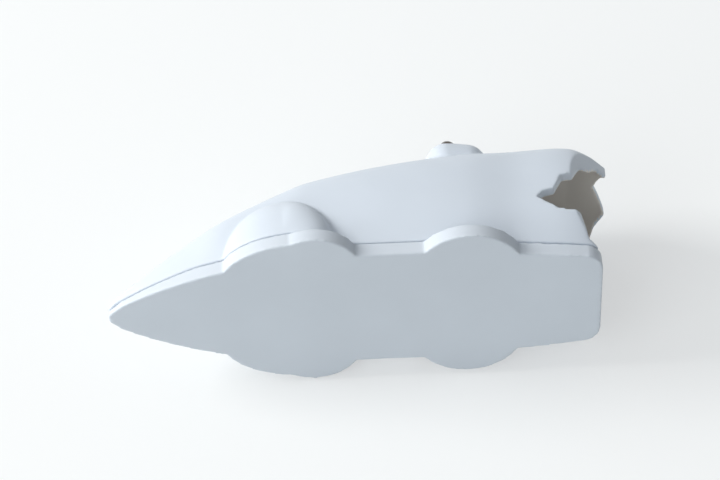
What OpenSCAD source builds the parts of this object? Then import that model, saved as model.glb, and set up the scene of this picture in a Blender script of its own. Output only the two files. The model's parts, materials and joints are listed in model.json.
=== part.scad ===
// Snap-shut cover for a toothbrush head, moulded as a small crocodile.
// The upper shell is the animal, the belly plate is a hinged lid, and the neck of the brush
// leaves through the open mouth. It is drawn standing on its feet, with the tail tip at x = 0,
// and is then laid on its side, leaning back on two feet and one flank.

/* [Length] */
// Tail, from its tip to the hips
tail_l = 12.6; // [9:0.1:18]
// Hips, from the root of the tail to the waist
hip_l = 13.7; // [12.5:0.1:18]
// Waist, the straight stretch between the feet
waist_l = 7; // [6.6:0.1:12]
// Shoulders, over the front feet
chest_l = 10.5; // [9:0.1:15]
// Snout, from the shoulders to the tip of the nose
snout_l = 10.8; // [9.5:0.1:15]

/* [Width] */
// Width of the belly at the root of the tail
tail_w = 12.8; // [10:0.1:14]
// Width of the belly at the waist
waist_w = 16; // [15:0.1:18]
// Width of the back at the waist, where the flanks bulge
flank_w = 17.8; // [17.5:0.1:20]
// Width of the back over the front feet
chest_w = 18.2; // [17.5:0.1:21]
// Width of the snout just behind the nose
snout_w = 17.2; // [14:0.1:18]
// Width of the nose at its tip
nose_w = 10.4; // [8:0.1:12]
// Width of the belly plate at its blunt front end
front_w = 11.8; // [9:0.1:13]

/* [Height] */
// Height of the back over the root of the tail
tail_h = 9.5; // [8:0.1:12]
// Height of the back over the hips
hip_h = 14.9; // [13:0.1:17]
// Height of the back over the waist
waist_h = 16.7; // [15:0.1:20]
// Height of the head
head_h = 18.6; // [17:0.1:21]
// Height of the nose
nose_h = 17.8; // [16:0.1:20]
// Squareness of the cross section, where 2 is an ellipse
squareness = 2.7; // [2:0.1:4]

/* [Walls] */
// Wall of the upper shell
wall = 1.2; // [0.8:0.05:1.6]
// Thickness of the belly plate and the foot pads
lid_t = 1.8; // [1.5:0.1:2.4]
// Thickness of the belly plate at the tip of the tail
lid_tip_t = 0.7; // [0.5:0.1:1.2]
// Seam between the shell and the closed belly plate
seam = 0.2; // [0.1:0.05:0.35]

/* [Feet] */
// Radius of the hind foot pads
hind_foot_r = 5.3; // [4.5:0.1:5.8]
// Radius of the front foot pads
front_foot_r = 6.2; // [5:0.1:6.8]
// How far the foot pads reach past the belly at the waist
foot_reach = 2.6; // [2:0.1:3.4]
// How far the haunch stands out of the flank
haunch = 2.1; // [1:0.05:2.6]
// Length of the haunch along the body
haunch_l = 12.2; // [10:0.1:14]
// Height of the haunch above the belly plate
haunch_h = 7.2; // [5.5:0.1:8.5]

/* [Mouth] */
// Length of the mouth slit, from its corner to the nose
mouth_l = 8.4; // [6:0.1:9.5]
// Height of the mouth corner above the belly face
mouth_h = 7.2; // [6:0.1:9]
// Height of the lower jaw above the belly face
jaw_h = 5.4; // [4:0.1:6]
// Height of the teeth along the upper jaw
tooth_h = 1; // [0.6:0.1:1.8]
// Number of teeth along each side of the upper jaw
teeth = 4; // [2:1:5]
// Distance between the two front teeth
front_teeth_w = 6; // [5:0.1:7]
// Depth of the notch between the two front teeth
notch = 1.3; // [0.6:0.1:2]

/* [Eyes] */
// Radius of the brow round each eye
brow_r = 2.4; // [2:0.1:3]
// Half length of the brow
brow_l = 3; // [2:0.1:4]
// Distance between the two eyes
eye_gap = 8.8; // [7:0.1:10]
// Radius of the eye beads
bead_r = 0.9; // [0.8:0.05:1.4]

/* [Hinge] */
// Radius of the hinge pin
pin_r = 0.6; // [0.4:0.05:0.7]
// Radius of the hinge barrels
barrel_r = 1.2; // [1.05:0.05:1.3]
// Length of each of the two outer barrels, which belong to the belly plate
ear_l = 1.8; // [1.2:0.1:2.1]
// Running clearance of the pin in the middle barrel
pin_gap = 0.05; // [0.02:0.01:0.1]
// Gap between neighbouring barrels, and round the outer barrels
barrel_gap = 0.25; // [0.15:0.05:0.4]

/* [Rest] */
// Lean of the belly face from upright, when the cover lies on its side
lean = 9.5; // [5:0.1:15]

/* [Hidden] */
$fn = 48;
past = 1;
hip_x = tail_l;
waist_x = hip_x + hip_l;
chest_x = waist_x + waist_l;
snout_x = chest_x + chest_l;
nose_x = snout_x + snout_l;
tip_w = 2.6;
tip_h = lid_tip_t + seam + 0.5;
thin_x = hip_x * 0.75;
shell_z = lid_t + seam;
widest_z = 7.5;
front_x = nose_x - 1.8;
front_r = 2;
jaw_x = front_x - 0.3;
foot_y = waist_w / 2 + foot_reach;
front_foot_y = foot_y - 0.3;
hind_foot_x = waist_x - 4.4;
front_foot_x = chest_x + chest_l / 2;
haunch_x = hind_foot_x - 3;
haunch_sink = wall * 0.7;
hip_full_x = waist_x - 4;
hollow_x = hip_x / 2;
lip_t = 0.8;
lip_h = 1.6;
lip_x = waist_x + 1;
hinge_y = waist_w / 2 + barrel_r - 0.1;
hinge_z = lid_t + barrel_r;
hinge_x = waist_x + 0.3;
hinge_l = waist_l - 0.6;
brow_x = front_foot_x - 0.4;
brow_z = head_h - 1.6;
brow_in = 0.4;
eye_x = brow_x - 0.8;
eye_tilt = 38;
bead_gap = 0.02;

// Rows along the length: place, half width of the belly, half width of the flank, height
ROWS = [
    [0, tip_w * 0.2, tip_w * 0.24, tip_h],
    [tip_w * 0.25, tip_w / 2, tip_w * 0.54, tip_h * 1.4],
    [hip_x * 0.2, tail_w * 0.19, tail_w * 0.2, tail_h * 0.31],
    [hip_x * 0.4, tail_w * 0.29, tail_w * 0.3, tail_h * 0.49],
    [hip_x * 0.7, tail_w * 0.41, tail_w * 0.43, tail_h * 0.75],
    [hip_x, tail_w / 2, tail_w * 0.54, tail_h],
    [hip_x + hip_l / 2, waist_w * 0.48, (tail_w * 0.54 + flank_w / 2) / 2, (tail_h + hip_h * 3) / 4],
    [hip_full_x, waist_w / 2, flank_w * 0.46, hip_h],
    [waist_x + waist_l / 2, waist_w / 2, flank_w / 2, waist_h],
    [front_foot_x, waist_w / 2, chest_w / 2, (waist_h + head_h * 3) / 4],
    [snout_x, waist_w * 0.455, chest_w * 0.48, head_h],
    [snout_x + snout_l * 0.6, front_w * 0.56, snout_w / 2, head_h * 1.02],
    [snout_x + snout_l * 0.82, front_w / 2, (snout_w * 2 + nose_w) / 6, (head_h * 2 + nose_h) / 3],
    [nose_x, nose_w * 0.4, nose_w / 2, nose_h]
];

// Smooth curve through one column of the rows
function place(rows, x, i = 0) = i >= len(rows) - 2 || x < rows[i + 1][0] ? i : place(rows, x, i + 1);
function lean_at(rows, c, i) =
    let (a = max(i - 1, 0), b = min(i + 1, len(rows) - 1))
    (rows[b][c] - rows[a][c]) / (rows[b][0] - rows[a][0]);
function along(rows, c, x) =
    let (i = place(rows, x), w = rows[i + 1][0] - rows[i][0], u = (x - rows[i][0]) / w)
    rows[i][c] * (1 + 2 * u) * pow(1 - u, 2) + rows[i + 1][c] * u * u * (3 - 2 * u)
    + w * (lean_at(rows, c, i) * u * pow(1 - u, 2) - lean_at(rows, c, i + 1) * u * u * (1 - u));
function belly_at(x) = along(ROWS, 1, x);
function flank_at(x) = along(ROWS, 2, x);
function height_at(x) = along(ROWS, 3, x);

// Height of the shell's lower rim, which drops towards the tip where the plate gets thin
function rim_at(x) = shell_z - (lid_t - lid_tip_t) * max(1 - x / thin_x, 0);

// Steps of half a cross section, below and above its widest point
LOW_N = 5;
HIGH_N = 14;

// Half of one cross section, from the belly edge up to the ridge of the back, drawn in by t
function half_section(x, t) =
    let (b = belly_at(x) - t, f = max(flank_at(x) - t, b), h = height_at(x) - t,
         r = rim_at(x), m = min(widest_z, r + (h - r) * 0.45), e = 2 / squareness)
    concat(
        [for (i = [0:LOW_N - 1]) let (u = i / LOW_N) [b + (f - b) * sin(90 * u), r + (m - r) * u]],
        [for (i = [0:HIGH_N]) let (a = 90 * i / HIGH_N) [f * pow(cos(a), e), m + (h - m) * pow(sin(a), e)]]);

// Whole cross section, from one belly edge over the back to the other
function section(x, t) =
    let (s = half_section(x, t), n = len(s))
    concat([for (p = s) [x, -p[0], p[1]]], [for (i = [n - 2:-1:0]) [x, s[i][0], s[i][1]]]);

// Cross section of the hollow, which is open below
function hollow_section(x) =
    let (s = section(x, wall), n = len(s))
    concat([[x, s[0][1], -past]], s, [[x, s[n - 1][1], -past]]);

// Places of the cross sections, closer together at the tail tip and the nose
function spread(a, b, n) = [for (i = [0:n - 1]) a + (b - a) * i / n];
HOLLOW_CUTS = concat(
    spread(hollow_x, hip_x, 5), spread(hip_x, waist_x, 10), spread(waist_x, snout_x, 10),
    spread(snout_x, nose_x, 10), [nose_x]);
CUTS = concat(spread(0, tip_w * 0.25, 3), spread(tip_w * 0.25, hollow_x, 5), HOLLOW_CUTS);

// Solid through a row of closed rings with the same number of points. The two end faces start at
// the ridge, from where a fan of triangles reaches every other point of the ring.
module loft(rings) {
    n = len(rings);
    r = len(rings[0]);
    ridge = (r - 1) / 2;
    sides = [for (i = [0:n - 2], j = [0:r - 1]) let (a = i * r + j, b = i * r + (j + 1) % r)
        each [[a, b, b + r], [a, b + r, a + r]]];
    polyhedron([for (ring = rings) each ring],
        concat(sides, [
            [for (j = [r:-1:1]) (j + ridge) % r],
            [for (j = [0:r - 1]) (n - 1) * r + (j + ridge) % r]]), convexity = 6);
}

// Place and stand-out of the haunch in the direction t, where u runs from 0 at its top to 1 at its rim
function haunch_at(u, t) =
    let (l = haunch_l * (t < 90 ? 0.46 : 0.54), x = haunch_x + l * u * cos(t), softness = 0.58 - 0.08 * cos(t))
    [x, flank_at(x) - haunch_sink + (haunch + haunch_sink) * pow(1 - u * u, softness)];

// Haunch on the +y side: a mound that is soft towards the tail and steep towards the head
module haunch_mound() {
    n = 24;
    m = 9;
    mound = [for (i = [0:n], j = [0:m - 1])
        let (t = 180 * i / n, u = cos(90 * j / m), p = haunch_at(u, t))
        [p[0], p[1], shell_z + haunch_h * u * sin(t)]];
    top = len(mound);
    points = concat(mound, [[haunch_x, flank_at(haunch_x) + haunch, shell_z],
        [haunch_x, flank_at(haunch_x) - haunch_sink, shell_z]]);
    skin = [for (i = [0:n - 1], j = [0:m - 2]) let (a = i * m + j)
        each [[a, a + m, a + m + 1], [a, a + m + 1, a + 1]]];
    cap = [for (i = [0:n - 1]) [i * m + m - 1, i * m + 2 * m - 1, top]];
    back = [for (i = [0:n - 1]) [i * m, top + 1, i * m + m]];
    floor = [concat([top + 1], [for (j = [0:m - 1]) j], [top], [for (j = [m - 1:-1:0]) n * m + j])];
    polyhedron(points, concat(skin, cap, back, floor), convexity = 4);
}

// The hollow body with its two haunches
module body_shell() {
    difference() {
        union() {
            loft([for (x = CUTS) section(x, 0)]);
            for (s = [0, 1])
                mirror([0, s, 0]) haunch_mound();
        }
        loft(concat([for (x = HOLLOW_CUTS) hollow_section(x)],
            [[for (p = hollow_section(nose_x)) [nose_x + past, p[1], p[2]]]]));
    }
}

// Side view of the open mouth, with pointed teeth along the upper jaw
module mouth_profile() {
    corner = [nose_x - mouth_l, mouth_h];
    tip = [nose_x + 0.2, nose_h - wall * 0.75];
    far_x = nose_x + past;
    root = 0.35;
    point = 0.9;
    upper_jaw = [for (i = [0:teeth - 1]) each [
        corner + (tip - corner) * (i + root) / teeth,
        corner + (tip - corner) * (i + point) / teeth - [0, tooth_h]]];
    lower_jaw = [
        [jaw_x, shell_z], [nose_x - mouth_l * 0.37, shell_z + 0.7],
        [nose_x - mouth_l * 0.45, jaw_h], [nose_x - mouth_l * 0.72, jaw_h + 0.2]];
    polygon(concat([corner], upper_jaw, [[far_x, tip[1]], [far_x, -past], [jaw_x, -past]], lower_jaw));
}

// Plan of what is cut off the nose, which bevels its corners and leaves two front teeth
module nose_plan() {
    tooth_y = front_teeth_w / 2;
    bevel_x = [nose_x, nose_x - 2, nose_x - mouth_l * 0.6];
    bevel_y = [tooth_y, snout_w * 0.33, snout_w * 0.53];
    polygon(concat(
        [[nose_x - notch, 0]],
        [for (i = [0:2]) [bevel_x[i], bevel_y[i]]],
        [[nose_x + past, snout_w / 2 + past], [nose_x + past, -snout_w / 2 - past]],
        [for (i = [2:-1:0]) [bevel_x[i], -bevel_y[i]]]));
}

// Soft brow over one eye, as the hull of four balls: place along the body, inset, drop, radius
module brow() {
    balls = [
        [-brow_l * 0.3, 0, 0, 1], [brow_l * 0.4, 0, 0.1, 0.92],
        [-brow_l, brow_in, brow_r * 0.7, 0.6], [brow_l * 1.05, brow_in, brow_r * 0.5, 0.6]];
    hull()
        for (b = balls)
            translate([brow_x + b[0], eye_gap / 2 - b[1], brow_z - b[2]]) sphere(brow_r * b[3], $fn = 20);
}

// Centre of one eye bead, half sunk in the outer face of the brow
module at_eye() {
    reach = brow_r - bead_r * 0.65;
    translate([eye_x, eye_gap / 2 + reach * sin(eye_tilt), brow_z + reach * cos(eye_tilt)]) children();
}

// Bar along the hinge line, starting a given way past its first end
module hinge_rod(x, l, r) {
    translate([hinge_x + x, hinge_y, hinge_z]) rotate([0, 90, 0]) cylinder(h = l, r = r);
}

// Room that the two outer barrels need in the shell
module ear_room() {
    room_l = ear_l + 2 * barrel_gap;
    for (x = [-barrel_gap, hinge_l - ear_l - barrel_gap]) {
        hinge_rod(x, room_l, barrel_r + barrel_gap);
        translate([hinge_x + x, hinge_y - barrel_r - barrel_gap, lid_t - past])
            cube([room_l, 2 * barrel_r, barrel_r + past]);
    }
}

// Bevel under the haunch on the hinge side, past which the edge of the opening plate swings up
module swing_room() {
    inner_y = hinge_y + barrel_r * 0.4;
    outer_y = inner_y + 2 * barrel_r;
    top_z = shell_z + barrel_r * 0.6;
    translate([haunch_x - haunch_l / 2, 0, 0]) rotate([90, 0, 90]) linear_extrude(haunch_l)
        polygon([[inner_y, shell_z - past], [inner_y, shell_z], [inner_y + barrel_r * 0.6, top_z],
            [outer_y, top_z], [outer_y, shell_z - past]]);
}

// Section of the web that ties the middle barrel to the shell
module shell_web() {
    inner_y = waist_w / 2 - wall / 2;
    top_z = hinge_z + 2 * barrel_r;
    polygon([
        [inner_y, shell_z + seam], [hinge_y, hinge_z], [hinge_y + barrel_r * 0.7, hinge_z + barrel_r * 0.7],
        [waist_w / 2 + barrel_r / 3, top_z], [inner_y, top_z]]);
}

module upper_shell() {
    barrel_x = ear_l + barrel_gap;
    barrel_l = hinge_l - 2 * barrel_x;
    color([0.80, 0.84, 0.88]) laid() difference() {
        union() {
            difference() {
                body_shell();
                translate([0, flank_w, 0]) rotate([90, 0, 0]) linear_extrude(2 * flank_w) mouth_profile();
                linear_extrude(head_h + past) nose_plan();
                ear_room();
                swing_room();
            }
            for (s = [0, 1])
                mirror([0, s, 0]) brow();
            hinge_rod(barrel_x, barrel_l, barrel_r);
            translate([hinge_x + barrel_x, 0, 0]) rotate([90, 0, 90]) linear_extrude(barrel_l) shell_web();
        }
        hinge_rod(0, hinge_l, pin_r + pin_gap);
        for (s = [0, 1])
            mirror([0, s, 0]) at_eye() sphere(bead_r);
    }
}

// Outline of the belly, with a blunt front end
module belly_plan() {
    arc_x = front_x - front_r;
    side = concat(
        [for (i = [0:36]) let (x = arc_x * i / 36) [x, belly_at(x)]],
        [for (a = [75:-15:0]) [arc_x + front_r * cos(a), belly_at(arc_x) - front_r * (1 - sin(a))]]);
    polygon(concat(side, [for (i = [len(side) - 1:-1:0]) [side[i][0], -side[i][1]]]));
}

// Foot pads, and the plate's edge under the haunches
module foot_plan() {
    n = 16;
    edge = [for (i = [0:n]) haunch_at(cos(90 * i / n), 0)];
    tail_edge = [for (i = [n:-1:0]) haunch_at(cos(90 * i / n), 180)];
    for (s = [0, 1])
        mirror([0, s]) {
            translate([hind_foot_x, foot_y - hind_foot_r]) circle(hind_foot_r);
            translate([front_foot_x, front_foot_y - front_foot_r]) circle(front_foot_r);
            polygon(concat(edge, tail_edge, [[haunch_x, 0]]));
        }
}

// Side view of what is cut off the top of the plate, where the tail gets thin
module tail_wedge() {
    top_z = lid_t + past;
    polygon([
        [-past, lid_tip_t], [0, lid_tip_t], [thin_x, lid_t], [thin_x, top_z], [-past, top_z]]);
}

// Section of the web that ties an outer barrel to the edge of the plate
module ear_web() {
    edge_y = waist_w / 2;
    root_z = lid_t * 0.15;
    polygon([
        [edge_y - wall / 2, root_z], [edge_y, root_z], [hinge_y + barrel_r * 0.6, hinge_z - barrel_r * 0.8],
        [hinge_y, hinge_z], [hinge_y - barrel_r * 0.9, hinge_z], [edge_y, lid_t], [edge_y - wall / 2, lid_t]]);
}

module belly_lid() {
    color([0.68, 0.72, 0.77]) laid() difference() {
        union() {
            linear_extrude(lid_t) {
                belly_plan();
                foot_plan();
            }
            translate([lip_x, -(waist_w / 2 - wall - seam), 0]) cube([front_foot_x - lip_x, lip_t, lid_t + lip_h]);
            for (x = [0, hinge_l - ear_l]) {
                hinge_rod(x, ear_l, barrel_r);
                translate([hinge_x + x, 0, 0]) rotate([90, 0, 90]) linear_extrude(ear_l) ear_web();
            }
        }
        hinge_rod(-past, hinge_l + 2 * past, pin_r);
        translate([0, tail_w, 0]) rotate([90, 0, 0]) linear_extrude(2 * tail_w) tail_wedge();
    }
}

module hinge_pin() {
    color([0.72, 0.76, 0.80]) laid() hinge_rod(0, hinge_l, pin_r);
}

module eye_beads() {
    color([0.20, 0.16, 0.14]) laid()
        for (s = [0, 1])
            mirror([0, s, 0]) at_eye() sphere(bead_r - bead_gap);
}

// Lays the standing cover on its side: the +y flank goes down and the belly turns to -Y
module laid() {
    back_y = brow_z * cos(lean) + eye_gap / 2 * sin(lean) + brow_r;
    feet_y = -foot_y * sin(lean);
    translate([-nose_x / 2, -(back_y + feet_y) / 2, foot_y * cos(lean) + lid_t * sin(lean)])
        rotate([-(90 + lean), 0, 0]) children();
}

upper_shell();
belly_lid();
hinge_pin();
eye_beads();
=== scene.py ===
# %% [markdown]
# # A moulded crocodile cover for a toothbrush head
#
# The cover is a small plastic shell with a hinged belly plate. This lesson dresses the measured
# model in Blender: it rebuilds the shell as a smooth moulding, softens the plate's edges, sets the
# eyes, and lights the piece softly on a pale table. Each piece moves with the body that carries it,
# so the lid still opens.

# %% The frame
import json
import math

import bmesh
import bpy
import numpy as np
from mathutils import Matrix, Vector

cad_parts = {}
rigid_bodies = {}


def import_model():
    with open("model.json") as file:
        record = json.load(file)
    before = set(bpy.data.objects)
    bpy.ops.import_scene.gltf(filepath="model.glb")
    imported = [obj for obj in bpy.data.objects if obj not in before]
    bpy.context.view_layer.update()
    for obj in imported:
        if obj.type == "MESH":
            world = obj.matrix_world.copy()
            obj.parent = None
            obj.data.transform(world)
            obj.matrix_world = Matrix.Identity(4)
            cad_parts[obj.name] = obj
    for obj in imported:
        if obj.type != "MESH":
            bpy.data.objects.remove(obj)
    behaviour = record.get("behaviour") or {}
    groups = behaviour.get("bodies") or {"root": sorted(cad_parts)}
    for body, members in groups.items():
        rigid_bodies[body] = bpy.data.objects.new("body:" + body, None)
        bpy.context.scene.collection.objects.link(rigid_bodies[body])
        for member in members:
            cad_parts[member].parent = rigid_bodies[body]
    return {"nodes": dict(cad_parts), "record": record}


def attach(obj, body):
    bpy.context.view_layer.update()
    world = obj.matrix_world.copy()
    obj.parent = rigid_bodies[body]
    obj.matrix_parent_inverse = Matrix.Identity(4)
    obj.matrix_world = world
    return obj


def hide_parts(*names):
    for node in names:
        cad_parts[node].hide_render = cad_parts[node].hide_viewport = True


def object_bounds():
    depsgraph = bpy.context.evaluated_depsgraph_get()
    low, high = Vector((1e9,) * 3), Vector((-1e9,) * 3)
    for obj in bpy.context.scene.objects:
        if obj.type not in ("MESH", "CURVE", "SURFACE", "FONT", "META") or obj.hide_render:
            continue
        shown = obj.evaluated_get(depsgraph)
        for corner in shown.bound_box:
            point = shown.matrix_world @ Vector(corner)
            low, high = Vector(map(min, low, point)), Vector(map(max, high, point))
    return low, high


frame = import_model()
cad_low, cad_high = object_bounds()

nodes = frame["nodes"]
record = frame["record"]
print("CAD box in mm:", [round(v * 1000, 1) for v in cad_high - cad_low])

# %% [markdown]
# ## Two ways to place a point
#
# A crocodile is easiest to describe standing on its feet: x runs from the tail tip to the nose,
# y to the side and z up from the belly. In the scene it lies on its side and leans back. One matrix
# takes standing millimetres to the scene's metres, and it is read from the frame, from where the
# belly face lies and where it looks, so nothing is fitted by eye.

# %% From standing millimetres to the scene
MM = 0.001
belly = next(m for m in record["mounts"] if m["name"] == "belly_face")
belly_point = Vector(belly["pos_m"])
belly_normal = Vector(belly["axis"]).normalized()
cover_len = (cad_high.x - cad_low.x) / MM
up_axis = -belly_normal
side_axis = up_axis.cross(Vector((1, 0, 0))).normalized()

to_scene = Matrix.Identity(4)
for row in range(3):
    to_scene[row][0] = (MM, 0, 0)[row]
    to_scene[row][1] = side_axis[row] * MM
    to_scene[row][2] = up_axis[row] * MM
    to_scene[row][3] = belly_point[row]
to_scene = to_scene @ Matrix.Translation((-cover_len / 2, 0, 0))
print("The belly face leans back by", round(math.degrees(math.asin(belly_normal.z)), 1), "degrees")

# %% [markdown]
# ## The profile of the body
#
# A moulded animal is a row of cross sections that swell and shrink along its length. Each row below
# gives one section: its place, the half width of the belly, the half width of the flank and the
# height of the back. A smooth curve through the rows gives every section between them, so only the
# places that shape the body are written down.
#
# In the names, L is a length along the body, W a width, H a height and T a thickness. The seam
# between shell and plate is drawn finer here than in the measured model, which needs more room
# between its solids, because on the real piece the two halves close to a hairline.

# %% The sizes, in millimetres
TAIL_L, HIP_L, WAIST_L, CHEST_L, SNOUT_L = 12.6, 13.7, 7.0, 10.5, 10.8
TAIL_W, WAIST_W, FLANK_W, CHEST_W = 12.8, 16.0, 17.8, 18.2
SNOUT_W, NOSE_W, FRONT_W = 17.2, 10.4, 11.8
TAIL_H, HIP_H, WAIST_H, HEAD_H, NOSE_H = 9.5, 14.9, 16.7, 18.6, 17.8
WALL, LID_T, LID_TIP_T, SEAM = 1.2, 1.8, 0.7, 0.1
HIND_FOOT_BACK = 4.4

hip_x = TAIL_L
waist_x = hip_x + HIP_L
chest_x = waist_x + WAIST_L
snout_x = chest_x + CHEST_L
nose_x = snout_x + SNOUT_L
front_foot_x = chest_x + CHEST_L / 2
hind_foot_x = waist_x - HIND_FOOT_BACK
hollow_x = hip_x / 2
shell_z = LID_T + SEAM
print("Length of the body:", round(nose_x, 1), "mm")

# %% The rows
TIP_W, TIP_H = 2.6, LID_TIP_T + SEAM + 0.5
PLACE, BELLY, FLANK, BACK = range(4)
ROWS = np.array([
    [0, TIP_W * 0.2, TIP_W * 0.24, TIP_H],
    [TIP_W * 0.25, TIP_W / 2, TIP_W * 0.54, TIP_H * 1.4],
    [hip_x * 0.2, TAIL_W * 0.19, TAIL_W * 0.2, TAIL_H * 0.31],
    [hip_x * 0.4, TAIL_W * 0.29, TAIL_W * 0.3, TAIL_H * 0.49],
    [hip_x * 0.7, TAIL_W * 0.41, TAIL_W * 0.43, TAIL_H * 0.75],
    [hip_x, TAIL_W / 2, TAIL_W * 0.54, TAIL_H],
    [hip_x + HIP_L / 2, WAIST_W * 0.48, (TAIL_W * 0.54 + FLANK_W / 2) / 2,
     (TAIL_H + HIP_H * 3) / 4],
    [waist_x - 4, WAIST_W / 2, FLANK_W * 0.46, HIP_H],
    [waist_x + WAIST_L / 2, WAIST_W / 2, FLANK_W / 2, WAIST_H],
    [front_foot_x, WAIST_W / 2, CHEST_W / 2, (WAIST_H + HEAD_H * 3) / 4],
    [snout_x, WAIST_W * 0.455, CHEST_W * 0.48, HEAD_H],
    [snout_x + SNOUT_L * 0.6, FRONT_W * 0.56, SNOUT_W / 2, HEAD_H * 1.02],
    [snout_x + SNOUT_L * 0.82, FRONT_W / 2, (SNOUT_W * 2 + NOSE_W) / 6,
     (HEAD_H * 2 + NOSE_H) / 3],
    [nose_x, NOSE_W * 0.4, NOSE_W / 2, NOSE_H],
])


def along(column, x):
    """The smooth curve through one column of the rows, at the places x."""
    places, values = ROWS[:, PLACE], ROWS[:, column]
    slopes = np.gradient(values, places, edge_order=1)
    slopes[1:-1] = (values[2:] - values[:-2]) / (places[2:] - places[:-2])
    i = np.clip(np.searchsorted(places, x, side="right") - 1, 0, len(places) - 2)
    step = places[i + 1] - places[i]
    u = (x - places[i]) / step
    return (values[i] * (1 + 2 * u) * (1 - u) ** 2 + values[i + 1] * u * u * (3 - 2 * u)
            + step * (slopes[i] * u * (1 - u) ** 2 - slopes[i + 1] * u * u * (1 - u)))


waist_half = float(along(FLANK, waist_x + WAIST_L / 2))
print("Half width of the flank at the waist:", round(waist_half, 2), "mm")

# %% [markdown]
# ## One cross section
#
# Each section starts at the rim over the plate, leans out to the flank and closes over the back in
# a rounded square. Such a curve could be drawn with handles, but one number is enough here: with a
# squareness of 2 it is an ellipse, and above 2 its shoulders fill out, as on the moulding.

# %% The curve of a section
SQUARENESS = 2.7
WIDEST_Z, WIDEST_SHARE = 7.5, 0.45
THIN_TAIL_SHARE = 0.75
LOW_N, HIGH_N = 9, 28


def half_section(x, inset):
    """Half of the section at x, from the belly edge up to the ridge, drawn in by inset."""
    low = along(BELLY, x) - inset
    flank = max(along(FLANK, x) - inset, low)
    high = along(BACK, x) - inset
    rim = shell_z - (LID_T - LID_TIP_T) * max(1 - x / (hip_x * THIN_TAIL_SHARE), 0)
    widest = min(WIDEST_Z, rim + (high - rim) * WIDEST_SHARE)
    u = np.linspace(0, 1, LOW_N, endpoint=False)
    a = np.linspace(0, math.pi / 2, HIGH_N)
    power = 2 / SQUARENESS
    y = np.concatenate([low + (flank - low) * np.sin(u * math.pi / 2),
                        flank * np.maximum(np.cos(a), 0) ** power])
    z = np.concatenate([rim + (widest - rim) * u, widest + (high - widest) * np.sin(a) ** power])
    y[-1] = 0
    return y, z


def section(x, inset=0.0, skirt=None):
    """The section from one belly edge over the back to the other, with an optional skirt below."""
    y, z = half_section(x, inset)
    if skirt is not None:
        y, z = np.append(y[0], y), np.append(skirt, z)
    left = np.stack([np.full(len(y), x), -y, z], 1)
    right = np.stack([np.full(len(y), x), y, z], 1)[:-1][::-1]
    return np.concatenate([left, right])


print("Points round one section:", len(section(waist_x)))

# %% [markdown]
# ## The outer body
#
# The shell is worked as a toolmaker would: one outer body, a hollow that is taken out of it, and
# straight cutters for the openings. Each of them is a closed mesh from a rule. All of this is done
# standing and in millimetres, where the flat faces of the cutters meet exactly, and the finished
# piece is laid down at the end.

# %% A closed mesh, and a loft through rings
def mesh_object(name, points, faces):
    """A closed mesh from standing points in millimetres, with its faces turned outwards."""
    mesh = bpy.data.meshes.new(name)
    mesh.from_pydata([tuple(p) for p in points], [], faces)
    made = bpy.data.objects.new(name, mesh)
    bpy.context.scene.collection.objects.link(made)
    bm = bmesh.new()
    bm.from_mesh(mesh)
    bmesh.ops.recalc_face_normals(bm, faces=bm.faces)
    bm.to_mesh(mesh)
    bm.free()
    return made


def loft(name, rings):
    """A solid through a row of closed rings with the same number of points."""
    n, r = len(rings), len(rings[0])
    faces = [[i * r + j, i * r + (j + 1) % r, (i + 1) * r + (j + 1) % r, (i + 1) * r + j]
             for i in range(n - 1) for j in range(r)]
    faces += [list(range(r))[::-1], list(range((n - 1) * r, n * r))]
    return mesh_object(name, np.concatenate(rings), faces)


front_cuts = np.linspace(snout_x, nose_x, 28)
hollow_cuts = np.concatenate([np.linspace(hollow_x, snout_x, 70, endpoint=False), front_cuts])
outer_cuts = np.concatenate([np.linspace(0, hollow_x, 26, endpoint=False), hollow_cuts])
shell = loft("crocodile_shell", [section(x) for x in outer_cuts])
print("Outer body:", len(shell.data.polygons), "faces")

# %% [markdown]
# ## The haunches
#
# Over each hind foot the flank swells into a thigh. The swelling is a mound on the flank: it starts
# softly at the tail, is highest just above the plate, and falls off steeply towards the head, which
# is what throws the small dark shade beside the hind foot. It could be sculpted by hand, but as a
# rule its softness is one number on each side. Blender's exact Boolean joins it to the body.

# %% The shape of a mound
HAUNCH, HAUNCH_L, HAUNCH_H = 2.1, 12.2, 7.2
HEAD_SHARE, TAIL_SHARE = 0.46, 0.54
haunch_x = hind_foot_x - 3
haunch_sink = WALL * 0.7


def haunch_at(u, t):
    """Place and stand-out of the haunch in the direction t. At its top u is 0, and at its rim 1."""
    share = HEAD_SHARE if math.cos(t) > 0 else TAIL_SHARE
    x = haunch_x + HAUNCH_L * share * u * math.cos(t)
    headward, tailward = max(math.cos(t), 0), max(-math.cos(t), 0)
    softness = 0.58 + 0.12 * headward + 0.08 * tailward
    stand = (HAUNCH + haunch_sink) * max(1 - u ** (2 + 2 * headward), 0) ** softness
    return x, float(along(FLANK, x)) - haunch_sink + stand


def haunch_mound(side):
    """One haunch as a closed mound, standing on the plane of the shell's rim."""
    n, m = 64, 24
    points = []
    for i in range(n + 1):
        t = math.pi * i / n
        for j in range(m):
            u = math.cos(math.pi / 2 * j / m)
            x, y = haunch_at(u, t)
            points.append((x, side * y, shell_z + HAUNCH_H * u * math.sin(t)))
    top, root = len(points), len(points) + 1
    flank = float(along(FLANK, haunch_x))
    points += [(haunch_x, side * (flank + HAUNCH), shell_z),
               (haunch_x, side * (flank - haunch_sink), shell_z)]
    faces = [[i * m + j, (i + 1) * m + j, (i + 1) * m + j + 1, i * m + j + 1]
             for i in range(n) for j in range(m - 1)]
    faces += [[i * m + m - 1, (i + 1) * m + m - 1, top] for i in range(n)]
    faces += [[i * m, root, (i + 1) * m] for i in range(n)]
    faces.append(list(range(m)) + [top] + [n * m + j for j in reversed(range(m))] + [root])
    return mesh_object("haunch", points, faces)


print("A haunch is", HAUNCH_L, "mm long and stands out by", HAUNCH, "mm")

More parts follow.
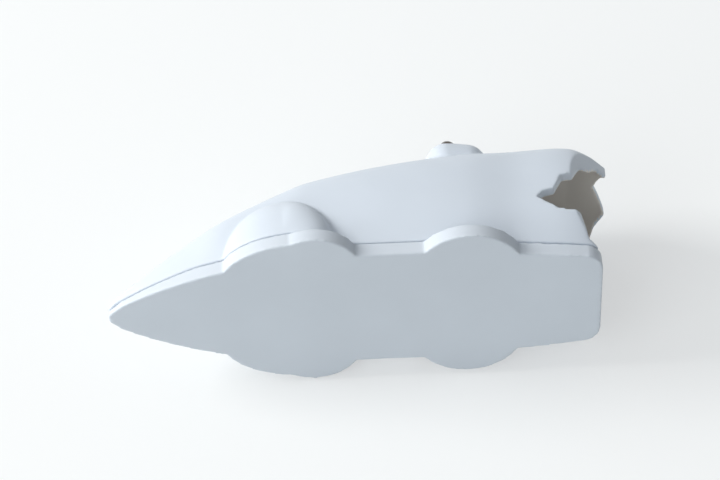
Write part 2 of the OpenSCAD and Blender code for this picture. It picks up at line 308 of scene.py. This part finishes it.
# %% Joining the haunches
def settle(obj):
    """Turns an object's modifiers into its own mesh."""
    bpy.context.view_layer.update()
    depsgraph = bpy.context.evaluated_depsgraph_get()
    mesh = bpy.data.meshes.new_from_object(obj.evaluated_get(depsgraph))
    obj.modifiers.clear()
    obj.data = mesh


def combine(obj, tool, operation):
    """Joins or cuts with a tool, which is then thrown away."""
    step = obj.modifiers.new("work", "BOOLEAN")
    step.operation = operation
    step.object = tool
    step.solver = "EXACT"
    settle(obj)
    bpy.data.objects.remove(tool)


for side in (-1, 1):
    combine(shell, haunch_mound(side), "UNION")
print("With the haunches:", len(shell.data.polygons), "faces")

# %% [markdown]
# ## The hollow
#
# The wall of a moulding is even, so the hollow is the same body drawn in by the wall. It is open
# below, where the plate closes it, and runs out through the front. A cutter always reaches a little
# past what it cuts, so that no thin skin is left.

# %% Taking out the hollow
PAST = 1.0
hollow_rings = [section(x, WALL, skirt=-PAST) for x in hollow_cuts]
hollow_rings.append(hollow_rings[-1] + [PAST, 0, 0])
combine(shell, loft("hollow", hollow_rings), "DIFFERENCE")
print("Hollowed:", len(shell.data.polygons), "faces")

# %% [markdown]
# ## The open mouth
#
# The mouth is one straight cut through both sides of the snout, as a slide in the mould would leave
# it. Its upper edge carries a row of teeth, and a second cut, seen from above, bevels the nose and
# leaves two front teeth.

# %% The mouth from the side
MOUTH_L, MOUTH_H, JAW_H = 8.4, 7.2, 5.4
TOOTH_H, TEETH = 1.0, 4
plate_front_x = nose_x - 1.8
jaw_x = plate_front_x - 0.3


def prism(name, outline, upright, low, high):
    """A prism over an outline: of (x, z) points for upright "y", (x, y) for "z", (y, z) for "x"."""
    put = {"x": lambda p, t: (t, p[0], p[1]),
           "y": lambda p, t: (p[0], t, p[1]),
           "z": lambda p, t: (p[0], p[1], t)}
    n = len(outline)
    points = [put[upright](p, t) for t in (low, high) for p in outline]
    faces = [list(range(n)), list(range(n, 2 * n))]
    faces += [[i, (i + 1) % n, (i + 1) % n + n, i + n] for i in range(n)]
    return mesh_object(name, points, faces)


def mouth_outline():
    """Side view of the open mouth, with pointed teeth along the upper jaw."""
    corner = Vector((nose_x - MOUTH_L, MOUTH_H))
    tip = Vector((nose_x + 0.2, NOSE_H - WALL * 0.75))
    teeth = [corner + (tip - corner) * (i + s) / TEETH - Vector((0, 0 if s < 0.5 else TOOTH_H))
             for i in range(TEETH) for s in (0.35, 0.9)]
    far_x = nose_x + PAST
    jaw = [(far_x, tip.y), (far_x, -PAST), (jaw_x, -PAST), (jaw_x, shell_z),
           (nose_x - MOUTH_L * 0.37, shell_z + 0.7), (nose_x - MOUTH_L * 0.45, JAW_H),
           (nose_x - MOUTH_L * 0.72, JAW_H + 0.2)]
    return [tuple(corner)] + [tuple(p) for p in teeth] + jaw


combine(shell, prism("mouth_cut", mouth_outline(), "y", -FLANK_W, FLANK_W), "DIFFERENCE")
print("With the mouth:", len(shell.data.polygons), "faces")

# %% The nose from above
FRONT_TEETH_W, NOTCH = 6.0, 1.3


def nose_outline():
    """Plan of what is cut off the nose."""
    bevel = [(nose_x, FRONT_TEETH_W / 2), (nose_x - 2, SNOUT_W * 0.33),
             (nose_x - MOUTH_L * 0.6, SNOUT_W * 0.53)]
    corner = SNOUT_W / 2 + PAST
    return ([(nose_x - NOTCH, 0)] + bevel + [(nose_x + PAST, corner), (nose_x + PAST, -corner)]
            + [(x, -y) for x, y in reversed(bevel)])


combine(shell, prism("nose_cut", nose_outline(), "z", -PAST, HEAD_H + PAST), "DIFFERENCE")
print("With the nose bevelled:", len(shell.data.polygons), "faces")

# %% [markdown]
# ## Brows
#
# The eyes sit on two soft bumps. Each bump is the hull of a few balls of different sizes, like a
# pebble pressed on to the head, and it is joined to the body. The join is rounded in a later step.

# %% A pebble from a few balls
def ball_points(centre, radius):
    """Points all over a ball, in rings."""
    return [Vector(centre) + radius * Vector((math.cos(b) * math.cos(a),
                                              math.cos(b) * math.sin(a), math.sin(b)))
            for b in np.linspace(-math.pi / 2, math.pi / 2, 19)
            for a in np.linspace(0, 2 * math.pi, 36, endpoint=False)]


def pebble(name, balls):
    """The convex hull of several balls, given as (centre, radius)."""
    bm = bmesh.new()
    for centre, radius in balls:
        for p in ball_points(centre, radius):
            bm.verts.new(p)
    bmesh.ops.remove_doubles(bm, verts=bm.verts, dist=1e-4)
    bmesh.ops.convex_hull(bm, input=bm.verts)
    bmesh.ops.delete(bm, geom=[v for v in bm.verts if not v.link_faces], context="VERTS")
    bmesh.ops.recalc_face_normals(bm, faces=bm.faces)
    mesh = bpy.data.meshes.new(name)
    bm.to_mesh(mesh)
    bm.free()
    made = bpy.data.objects.new(name, mesh)
    bpy.context.scene.collection.objects.link(made)
    return made


print("Points on a ball:", len(ball_points((0, 0, 0), 1)))

# %% Joining the brows
EYE_GAP, BROW_R, BROW_L, BROW_IN = 8.8, 2.4, 3.0, 0.4
brow_x = front_foot_x - 0.4
brow_z = HEAD_H - 1.6


def brow(side):
    """The soft brow over one eye."""
    y = EYE_GAP / 2
    return pebble("brow", [
        ((brow_x - BROW_L * 0.3, side * y, brow_z), BROW_R),
        ((brow_x + BROW_L * 0.4, side * y, brow_z - 0.1), BROW_R * 0.92),
        ((brow_x - BROW_L, side * (y - BROW_IN), brow_z - BROW_R * 0.7), BROW_R * 0.6),
        ((brow_x + BROW_L * 1.05, side * (y - BROW_IN), brow_z - BROW_R * 0.5), BROW_R * 0.6)])


for side in (-1, 1):
    combine(shell, brow(side), "UNION")
print("With the brows:", len(shell.data.polygons), "faces")

# %% [markdown]
# ## Room for the hinge
#
# Between the two feet on the table side the lid is hinged. Two notches in the shell's wall leave
# room for the lid's outer barrels, and a bevel under the haunch lets the plate's edge swing past.

# %% Two notches for the lid's barrels
BARREL_R, PIN_R, EAR_L, BARREL_GAP, PIN_GAP = 1.2, 0.6, 1.8, 0.25, 0.05
hinge_y = WAIST_W / 2 + BARREL_R - 0.1
hinge_z = LID_T + BARREL_R
hinge_x = waist_x + 0.3
hinge_l = WAIST_L - 0.6


def rod(name, start, length, radius, sides=64):
    """A round bar along the hinge line."""
    ring = [(hinge_y + radius * math.cos(t), hinge_z + radius * math.sin(t))
            for t in np.linspace(0, 2 * math.pi, sides, endpoint=False)]
    return prism(name, ring, "x", hinge_x + start, hinge_x + start + length)


ear_room_l = EAR_L + 2 * BARREL_GAP
inner, low = hinge_y - BARREL_R - BARREL_GAP, LID_T - PAST
box = [(inner, low), (inner + 2 * BARREL_R, low), (inner + 2 * BARREL_R, hinge_z), (inner, hinge_z)]
for start in (-BARREL_GAP, hinge_l - EAR_L - BARREL_GAP):
    combine(shell, rod("ear_room", start, ear_room_l, BARREL_R + BARREL_GAP), "DIFFERENCE")
    first, last = hinge_x + start, hinge_x + start + ear_room_l
    combine(shell, prism("ear_room", box, "x", first, last), "DIFFERENCE")
print("With the notches:", len(shell.data.polygons), "faces")

# %% A bevel for the swing
inner, outer, top = hinge_y + BARREL_R * 0.4, hinge_y + BARREL_R * 2.4, shell_z + BARREL_R * 0.6
bevel = [(inner, shell_z - PAST), (inner, shell_z), (inner + BARREL_R * 0.6, top), (outer, top),
         (outer, shell_z - PAST)]
first, last = haunch_x - HAUNCH_L / 2, haunch_x + HAUNCH_L / 2
combine(shell, prism("swing_room", bevel, "x", first, last), "DIFFERENCE")
print("With the bevel:", len(shell.data.polygons), "faces")

# %% [markdown]
# ## The shell's own barrel
#
# The shell carries the middle barrel of the hinge on a small web that grows out of its wall, so the
# barrel comes out of the mould with the shell. The bore is cut last, through all that is there.

# %% Barrel, web and bore
barrel_start = EAR_L + BARREL_GAP
barrel_l = hinge_l - 2 * barrel_start
inner, top = WAIST_W / 2 - WALL / 2, hinge_z + 2 * BARREL_R
web = [(inner, shell_z + SEAM), (hinge_y, hinge_z),
       (hinge_y + BARREL_R * 0.7, hinge_z + BARREL_R * 0.7),
       (WAIST_W / 2 + BARREL_R / 3, top), (inner, top)]
first, last = hinge_x + barrel_start, hinge_x + barrel_start + barrel_l
combine(shell, rod("barrel", barrel_start, barrel_l, BARREL_R), "UNION")
combine(shell, prism("web", web, "x", first, last), "UNION")
combine(shell, rod("bore", 0, hinge_l, PIN_R + PIN_GAP), "DIFFERENCE")
print("With the hinge:", len(shell.data.polygons), "faces")

# %% [markdown]
# ## Softening the moulding
#
# Plastic that is moulded has no sharp edges. A bevel modifier would stumble over the many small
# faces that the cuts leave, so the whole shell is rebuilt from small cells and then relaxed, which
# rounds every edge by a fraction of a millimetre and runs the brows into the head.

# %% Cells, relaxing and a lighter mesh
CELL = 0.15


def soften(obj, cell, passes, keep):
    """Rebuilds a mesh from even cells, relaxes it, and thins out the cells that aren't needed."""
    cells = obj.modifiers.new("cells", "REMESH")
    cells.mode = "VOXEL"
    cells.voxel_size = cell
    relax = obj.modifiers.new("relax", "SMOOTH")
    relax.factor = 0.5
    relax.iterations = passes
    thin = obj.modifiers.new("thin", "DECIMATE")
    thin.ratio = keep
    settle(obj)
    for face in obj.data.polygons:
        face.use_smooth = True
    return obj


soften(shell, cell=CELL, passes=3, keep=0.3)
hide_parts("upper_shell")
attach(shell, "shell")
print("Softened shell:", len(shell.data.polygons), "faces")

# %% [markdown]
# ## The belly plate
#
# The plate is measured already, with its four foot pads, its closing lip and its hinge barrels. The
# visual piece is a copy of it with its edges softened in the same way as the shell. The copy comes
# first, so that the CAD piece's own mesh keeps its shape.

# %% A softened copy of the lid
def softened_copy(node, name, **how):
    """A new object with a CAD node's shape and soft edges, which stands for that node."""
    made = bpy.data.objects.new(name, nodes[node].data.copy())
    made.data.materials.clear()
    bpy.context.scene.collection.objects.link(made)
    soften(made, **how)
    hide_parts(node)
    return made


lid = softened_copy("belly_lid", "belly_plate", cell=CELL * MM, passes=3, keep=0.4)
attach(lid, "lid")
print("Softened lid:", len(lid.data.polygons), "faces")

# %% [markdown]
# ## Matte moulded plastic
#
# The plastic is a pale blue-grey with a fine spark-eroded grain. Its colour drifts very slightly,
# as in any moulding, and the grain breaks up the highlights. The grain is far finer than any edge
# of the part, so it is a bump in the material and not a shape in the mesh.

# %% The plastic
DRIFT_SCALE, GRAIN_SCALE = 90, 5200
GRAIN_DEPTH = 0.04 * MM


def moulded_plastic(name, colour, roughness=0.5, grain=0.06):
    """A matte plastic with a slow drift of colour and a fine grain."""
    material = bpy.data.materials.new(name)
    material.use_nodes = True
    tree = material.node_tree
    shader = tree.nodes["Principled BSDF"]
    shader.inputs["Roughness"].default_value = roughness
    shader.inputs["IOR"].default_value = 1.46
    place = tree.nodes.new("ShaderNodeTexCoord")
    drift = tree.nodes.new("ShaderNodeTexNoise")
    drift.inputs["Scale"].default_value = DRIFT_SCALE
    drift.inputs["Detail"].default_value = 3
    ramp = tree.nodes.new("ShaderNodeValToRGB")
    ramp.color_ramp.elements[0].position = 0.3
    ramp.color_ramp.elements[1].position = 0.7
    ramp.color_ramp.elements[0].color = [c * 0.97 for c in colour] + [1]
    ramp.color_ramp.elements[1].color = [min(c * 1.02, 1) for c in colour] + [1]
    tree.links.new(place.outputs["Object"], drift.inputs["Vector"])
    tree.links.new(drift.outputs["Fac"], ramp.inputs["Fac"])
    tree.links.new(ramp.outputs["Color"], shader.inputs["Base Color"])
    spark = tree.nodes.new("ShaderNodeTexNoise")
    spark.inputs["Scale"].default_value = GRAIN_SCALE
    spark.inputs["Detail"].default_value = 2
    bump = tree.nodes.new("ShaderNodeBump")
    bump.inputs["Strength"].default_value = grain
    bump.inputs["Distance"].default_value = GRAIN_DEPTH
    tree.links.new(place.outputs["Object"], spark.inputs["Vector"])
    tree.links.new(spark.outputs["Fac"], bump.inputs["Height"])
    tree.links.new(bump.outputs["Normal"], shader.inputs["Normal"])
    return material


# %% Shell, lid and pin get their plastic
SHELL_COLOUR = (0.66, 0.715, 0.785)
LID_COLOUR = (0.64, 0.69, 0.75)
pin = nodes["hinge_pin"]
pin.data.materials.clear()
for piece, name, colour, roughness in ((shell, "shell_plastic", SHELL_COLOUR, 0.5),
                                       (lid, "lid_plastic", LID_COLOUR, 0.55),
                                       (pin, "pin_plastic", LID_COLOUR, 0.4)):
    piece.data.materials.append(moulded_plastic(name, colour, roughness))
    print(piece.name, "is finished in", name)

# %% [markdown]
# ## The lining of the mouth
#
# Deep in the open mouth the plastic looks warmer than outside, because the light there has bounced
# round inside the shell. That bounce light is painted into the inner skin: it gets a warmer and
# lighter colour of its own, so the mouth keeps that tone from every side. A face belongs to the
# lining when its middle lies inside the body drawn in by most of the wall. The inner half widths
# are looked up in a table, which is quicker than working out a section for each face.

# %% The inner skin, with painted warm bounce light
# Painted bounce light: a warmer, lighter colour than the shell's, for the inner skin
PAINTED_BOUNCE_COLOUR = (0.84, 0.79, 0.73)
LOOKUP_N, TALLEST = 160, 20
places, heights = np.linspace(hollow_x, nose_x, LOOKUP_N), np.linspace(0, TALLEST, LOOKUP_N)
inner_half = np.zeros((len(places), len(heights)))
for i, x in enumerate(places):
    half, rise = half_section(x, WALL * 0.85)
    inner_half[i] = np.interp(heights, rise, half, right=0)

centres = np.empty(3 * len(shell.data.polygons))
shell.data.polygons.foreach_get("center", centres)
x, y, z = centres.reshape(-1, 3).T
column = np.rint((x - hollow_x) / (places[1] - places[0])).astype(int)
level = np.rint(z / (heights[1] - heights[0])).astype(int).clip(0, len(heights) - 1)
inside = (column >= 0) & (column < len(places))
inside &= np.abs(y) < inner_half[column.clip(0, len(places) - 1), level]
# The inner skin takes the painted bounce light as the shell's second material
shell.data.materials.append(moulded_plastic("painted_bounce_plastic", PAINTED_BOUNCE_COLOUR, roughness=0.6))
shell.data.polygons.foreach_set("material_index", inside.astype(np.int32))
print("Lining faces:", int(inside.sum()))

# %% [markdown]
# ## Laying the shell down
#
# The shell has been worked standing. The matrix from the start of the lesson now brings its mesh to
# its place in the scene, where it lies on its side over the belly plate.

# %% From standing to lying
def lay_down(obj):
    """Brings a standing piece in millimetres to its place in the scene."""
    obj.data.transform(to_scene)
    obj.data.update()
    return obj


lay_down(shell)
lowest = min(v.co.z for v in shell.data.vertices)
print("The shell's lowest point is", round(lowest / MM, 2), "mm above the table")

# %% [markdown]
# ## The eyes
#
# Each eye is a small dark bead, pressed into the brow. It is a dome with a rounded skirt, turned
# like a bead on a lathe from a short profile, and its gloss catches one small highlight.

# %% A bead
BEAD_R = 0.9
BEAD_TILT = math.radians(38)


def bead(name, side):
    """A turned bead with its dome pointing out of the brow."""
    reach = BROW_R - BEAD_R * 0.65
    centre = Vector((brow_x - 0.8, side * (EYE_GAP / 2 + reach * math.sin(BEAD_TILT)),
                     brow_z + reach * math.cos(BEAD_TILT)))
    out = Vector((0, side * math.sin(BEAD_TILT), math.cos(BEAD_TILT)))
    turn = out.to_track_quat("Z", "Y").to_matrix()
    dome = BEAD_R * 0.9
    profile = [(BEAD_R * math.sin(t), dome * math.cos(t))
               for t in np.linspace(0.12, math.pi * 0.55, 22)]
    profile.append((BEAD_R * 0.8, -BEAD_R * 0.5))
    rings, sides = len(profile), 64
    points = [centre + turn @ Vector((r * math.cos(a), r * math.sin(a), h))
              for r, h in profile for a in np.linspace(0, 2 * math.pi, sides, endpoint=False)]
    top, bottom = len(points), len(points) + 1
    points += [centre + turn @ Vector((0, 0, h)) for h in (dome, -BEAD_R * 0.55)]
    faces = []
    for k in range(sides):
        after = (k + 1) % sides
        faces.append([top, k, after])
        faces.append([bottom, (rings - 1) * sides + after, (rings - 1) * sides + k])
        faces += [[i * sides + k, (i + 1) * sides + k, (i + 1) * sides + after, i * sides + after]
                  for i in range(rings - 1)]
    made = lay_down(mesh_object(name, points, faces))
    for face in made.data.polygons:
        face.use_smooth = True
    return made


beads = [bead("eye_bead_left", -1), bead("eye_bead_right", 1)]
print("Beads:", [one.name for one in beads], "with", len(beads[0].data.polygons), "faces each")

# %% Gloss on the beads
def bead_gloss():
    """A dark brown gloss with a slight marbling."""
    material = bpy.data.materials.new("bead_gloss")
    material.use_nodes = True
    tree = material.node_tree
    shader = tree.nodes["Principled BSDF"]
    shader.inputs["Roughness"].default_value = 0.12
    shader.inputs["Coat Weight"].default_value = 0.5
    place = tree.nodes.new("ShaderNodeTexCoord")
    cloud = tree.nodes.new("ShaderNodeTexNoise")
    cloud.inputs["Scale"].default_value = 900
    ramp = tree.nodes.new("ShaderNodeValToRGB")
    ramp.color_ramp.elements[0].color = (0.030, 0.020, 0.016, 1)
    ramp.color_ramp.elements[1].color = (0.085, 0.056, 0.042, 1)
    tree.links.new(place.outputs["Object"], cloud.inputs["Vector"])
    tree.links.new(cloud.outputs["Fac"], ramp.inputs["Fac"])
    tree.links.new(ramp.outputs["Color"], shader.inputs["Base Color"])
    return material


gloss = bead_gloss()
for one in beads:
    one.data.materials.append(gloss)
    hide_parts("eye_beads")
    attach(one, "shell")
print("The beads ride on the shell, in", gloss.name)

# %% [markdown]
# ## The table
#
# The table is a broad sheet that runs past the picture on every side. To the camera its paint looks
# a little whiter than it is, through the Light Path node, so the picture gets its white ground
# without more light on the cover. Half of the paint still takes light, and keeps the soft shadow.

# %% Paint that is whiter to look at
def seen_as_background(tree):
    """A socket that is 1 for what is looked at, also in gloss or through glass, and else 0."""
    path = tree.nodes.new("ShaderNodeLightPath")
    kinds = ["Is Camera Ray", "Is Glossy Ray", "Is Transmission Ray"]
    seen = path.outputs[kinds[0]]
    for kind in kinds[1:]:
        either = tree.nodes.new("ShaderNodeMath")
        either.operation = "MAXIMUM"
        tree.links.new(seen, either.inputs[0])
        tree.links.new(path.outputs[kind], either.inputs[1])
        seen = either.outputs["Value"]
    return seen


def table_paint(white_share):
    """A pale paint, of which a share shows as plain white to the camera."""
    paint = bpy.data.materials.new("table_paint")
    paint.use_nodes = True
    tree = paint.node_tree
    shader = tree.nodes["Principled BSDF"]
    shader.inputs["Base Color"].default_value = (0.90, 0.92, 0.91, 1)
    shader.inputs["Roughness"].default_value = 0.7
    white = tree.nodes.new("ShaderNodeEmission")
    white.inputs["Color"].default_value = (0.97, 0.98, 0.99, 1)
    share = tree.nodes.new("ShaderNodeMath")
    share.operation = "MULTIPLY"
    share.inputs[1].default_value = white_share
    mix = tree.nodes.new("ShaderNodeMixShader")
    tree.links.new(seen_as_background(tree), share.inputs[0])
    tree.links.new(share.outputs["Value"], mix.inputs["Fac"])
    tree.links.new(shader.outputs["BSDF"], mix.inputs[1])
    tree.links.new(white.outputs["Emission"], mix.inputs[2])
    tree.links.new(mix.outputs["Shader"], tree.nodes["Material Output"].inputs["Surface"])
    return paint


# %% The sheet
TABLE_HALF = 1.2
TABLE_GAP = 0.02 * MM


def table_top():
    """A broad pale sheet just under the cover."""
    half = TABLE_HALF
    corners = [(-half, -half, 0), (half, -half, 0), (half, half, 0), (-half, half, 0)]
    mesh = bpy.data.meshes.new("table_top")
    mesh.from_pydata(corners, [], [[0, 1, 2, 3]])
    made = bpy.data.objects.new("table_top", mesh)
    bpy.context.scene.collection.objects.link(made)
    made.location.z = cad_low.z - TABLE_GAP
    made.data.materials.append(table_paint(white_share=0.5))
    return made


table = table_top()
print("Table top at", round(table.location.z / MM, 3), "mm")

# %% [markdown]
# ## Soft daylight
#
# Two broad lamps stand in for a window and for the room in front of it. A room isn't equally bright
# all round, so the world's light also grows towards the window's side, which leaves the right half
# of the cover in soft shade.

# %% Window and room lamp
def soft_lamp(name, place, size, power, colour):
    """A soft square lamp that looks at the cover."""
    lamp = bpy.data.lights.new(name, "AREA")
    lamp.shape = "SQUARE"
    lamp.size = size
    lamp.energy = power
    lamp.color = colour
    made = bpy.data.objects.new(name, lamp)
    bpy.context.scene.collection.objects.link(made)
    made.location = place
    made.rotation_euler = (-Vector(place)).to_track_quat("-Z", "Y").to_euler()
    print(name, "of", power, "W")
    return made


soft_lamp("window_light", (-0.50, 0.10, 0.32), size=0.22, power=2.8, colour=(1.0, 0.99, 0.97))
soft_lamp("room_light", (-0.38, -0.38, 0.36), size=0.4, power=1.0, colour=(0.95, 0.98, 1.0))


# %% The world
def room_world(bright_side, least, most):
    """A room whose light grows from least to most towards its bright side, and white to look at."""
    world = bpy.data.worlds.new("room")
    bpy.context.scene.world = world
    world.use_nodes = True
    tree = world.node_tree
    room = tree.nodes["Background"]
    room.inputs["Color"].default_value = (0.93, 0.97, 1.0, 1)
    look = tree.nodes.new("ShaderNodeTexCoord")
    towards = tree.nodes.new("ShaderNodeVectorMath")
    towards.operation = "DOT_PRODUCT"
    towards.inputs[1].default_value = Vector(bright_side).normalized()
    level = tree.nodes.new("ShaderNodeMapRange")
    level.inputs["From Min"].default_value = -0.8
    level.inputs["To Min"].default_value = least
    level.inputs["To Max"].default_value = most
    tree.links.new(look.outputs["Generated"], towards.inputs[0])
    tree.links.new(towards.outputs["Value"], level.inputs["Value"])
    tree.links.new(level.outputs["Result"], room.inputs["Strength"])
    plain = tree.nodes.new("ShaderNodeBackground")
    plain.inputs["Strength"].default_value = 1
    mix = tree.nodes.new("ShaderNodeMixShader")
    tree.links.new(seen_as_background(tree), mix.inputs["Fac"])
    tree.links.new(room.outputs["Background"], mix.inputs[1])
    tree.links.new(plain.outputs["Background"], mix.inputs[2])
    tree.links.new(mix.outputs["Shader"], tree.nodes["World Output"].inputs["Surface"])
    print("Room light from", least, "to", most)


room_world(bright_side=(-0.80, 0.15, 0.55), least=0.04, most=0.72)

# %% [markdown]
# ## The camera
#
# The cover is seen from the side that its belly faces, from well above, with the head end turned a
# little away. The distance is that of a small product on a table, about 45 cm, and a long lens
# fills the picture with it.

# %% Camera
CAMERA_YAW = math.radians(-2.9)
CAMERA_RISE = math.radians(54.5)
CAMERA_FAR = 0.45
PICTURE_W = 0.078

centre = (cad_low + cad_high) / 2
back = Vector((math.sin(CAMERA_YAW) * math.cos(CAMERA_RISE),
               -math.cos(CAMERA_YAW) * math.cos(CAMERA_RISE), math.sin(CAMERA_RISE)))
camera = bpy.data.objects.new("camera", bpy.data.cameras.new("camera"))
bpy.context.scene.collection.objects.link(camera)
camera.location = centre + back * CAMERA_FAR
camera.rotation_euler = (-back).to_track_quat("-Z", "Y").to_euler()
camera.data.lens = camera.data.sensor_width * CAMERA_FAR / PICTURE_W
camera.data.clip_start = 0.01
camera.data.clip_end = 10
bpy.context.scene.camera = camera
bpy.context.scene.view_settings.view_transform = "Standard"
print("Lens:", round(camera.data.lens), "mm")
